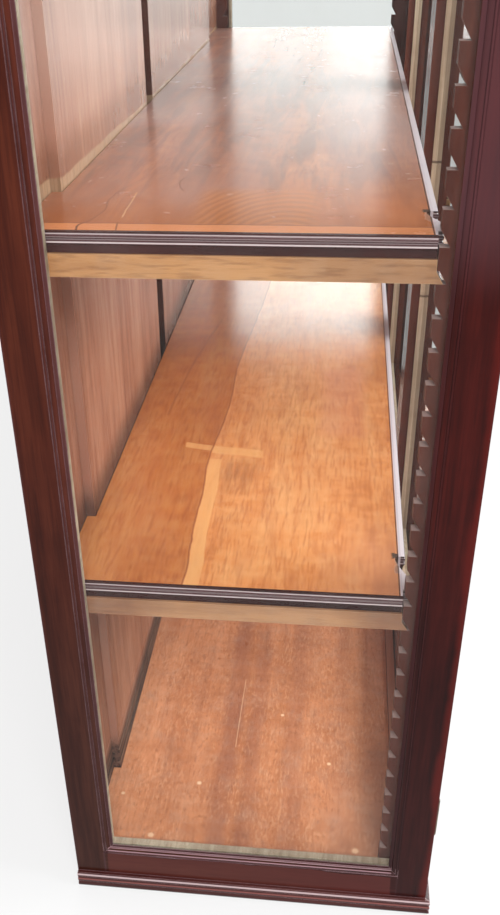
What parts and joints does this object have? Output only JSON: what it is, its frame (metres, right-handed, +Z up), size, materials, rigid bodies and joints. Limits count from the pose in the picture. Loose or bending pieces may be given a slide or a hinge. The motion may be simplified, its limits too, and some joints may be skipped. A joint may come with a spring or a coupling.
{
  "type": "display cabinet",
  "caption": "Long mahogany display cabinet with glazed ends, a pair of glazed front doors, a panelled wooden back and adjustable shelves on bearers held by sawtooth ratchets",
  "frame": {"origin": "middle of the cabinet's foot, on the floor", "axes": "+Z up, X along the cabinet's length with the pictured end at -X, -Y towards the doors"},
  "size_m": [2.156, 0.6318, 1.85],
  "materials": {
    "mahogany": "dark red-brown mahogany, French polished",
    "back_mahogany": "dark brown mahogany, satin polish",
    "shelf_mahogany": "orange-brown mahogany, glossy polish",
    "panel_wood": "pinkish tan wood, vertical grain, thin polish",
    "ratchet_wood": "mid-brown wood, dusty, unpolished",
    "bearer_wood": "pale tan wood, unpolished",
    "bead_wood": "pale wood beads, dusty and unpolished, with cracks across",
    "carcass_wood": "plain brown wood, unpolished",
    "glass": "clear old sheet glass",
    "brass": "aged brass",
    "steel": "worn steel"
  },
  "bodies": {
    "cabinet": {"back_bottom_rail": "back_mahogany", "back_left_panel": "panel_wood", "back_left_ratchet": "ratchet_wood", "back_left_stile": "panel_wood", "back_muntin": "back_mahogany", "back_right_panel": "panel_wood", "back_right_ratchet": "ratchet_wood", "back_right_stile": "panel_wood", "back_top_rail": "back_mahogany", "base_frame_rails": "carcass_wood", "bottom_board": "shelf_mahogany", "end_base_mouldings": "mahogany", "end_cornices": "mahogany", "end_glazing_beads": "bead_wood", "frame_hinge_leaves": "brass", "front_base_moulding": "mahogany", "front_bottom_rail": "mahogany", "front_cornice": "mahogany", "front_left_ratchet": "ratchet_wood", "front_right_ratchet": "ratchet_wood", "front_top_rail": "mahogany", "left_end_back_stile": "mahogany", "left_end_bottom_rail": "mahogany", "left_end_front_stile": "mahogany", "left_end_glass": "glass", "left_end_top_rail": "mahogany", "lower_shelf_bearers": "bearer_wood", "right_end_back_stile": "mahogany", "right_end_bottom_rail": "mahogany", "right_end_front_stile": "mahogany", "right_end_glass": "glass", "right_end_top_rail": "mahogany", "top_board": "carcass_wood", "upper_shelf_bearers": "bearer_wood"},
    "bottom_bolt": {"bottom_bolt": "brass"},
    "left_door": {"door_bolt_guides": "brass", "left_door_bottom_rail": "mahogany", "left_door_glass": "glass", "left_door_glazing_beads": "bead_wood", "left_door_hinge_leaves": "brass", "left_door_hinge_stile": "mahogany", "left_door_meeting_stile": "mahogany", "left_door_top_rail": "mahogany", "lock_keeper": "brass"},
    "door_key": {"door_key": "steel"},
    "right_door": {"keyhole_escutcheon": "brass", "lock_case": "brass", "right_door_bottom_rail": "mahogany", "right_door_glass": "glass", "right_door_glazing_beads": "bead_wood", "right_door_hinge_leaves": "brass", "right_door_hinge_stile": "mahogany", "right_door_meeting_stile": "mahogany", "right_door_top_rail": "mahogany"},
    "lock_bolt": {"lock_bolt": "steel"},
    "lower_shelf": {"lower_shelf_board": "shelf_mahogany", "lower_shelf_edging": "mahogany"},
    "top_bolt": {"top_bolt": "brass"},
    "upper_shelf": {"upper_shelf_board": "shelf_mahogany", "upper_shelf_edging": "mahogany"}
  },
  "joints": [
    {"name": "left_door_hinge", "type": "hinge", "parent": "cabinet", "child": "left_door", "pos_m": [-1.022, -0.3033, 0.9115], "axis": [0, 0, -1], "range_deg": [0, 110]},
    {"name": "right_door_hinge", "type": "hinge", "parent": "cabinet", "child": "right_door", "pos_m": [1.022, -0.3033, 0.9115], "axis": [0, 0, 1], "range_deg": [0, 110]},
    {"name": "lower_shelf_lift", "type": "slide", "parent": "cabinet", "child": "lower_shelf", "axis": [0, 0, 1], "range_m": [0, 0.084]},
    {"name": "upper_shelf_lift", "type": "slide", "parent": "cabinet", "child": "upper_shelf", "axis": [0, 0, 1], "range_m": [0, 0.084]},
    {"name": "key_turn", "type": "hinge", "parent": "right_door", "child": "door_key", "pos_m": [0.0285, -0.3, 0.9], "axis": [0, -1, 0], "range_deg": [0, 180]},
    {"name": "lock_bolt_slide", "type": "slide", "parent": "right_door", "child": "lock_bolt", "axis": [-1, 0, 0], "range_m": [0, 0.014]},
    {"name": "bottom_bolt_slide", "type": "slide", "parent": "left_door", "child": "bottom_bolt", "axis": [0, 0, -1], "range_m": [0, 0.012]},
    {"name": "top_bolt_slide", "type": "slide", "parent": "left_door", "child": "top_bolt", "axis": [0, 0, 1], "range_m": [0, 0.012]}
  ],
  "couplings": [
    {"joint": "lock_bolt_slide", "follows": "key_turn", "m_per_rad": 0.0044563}
  ]
}
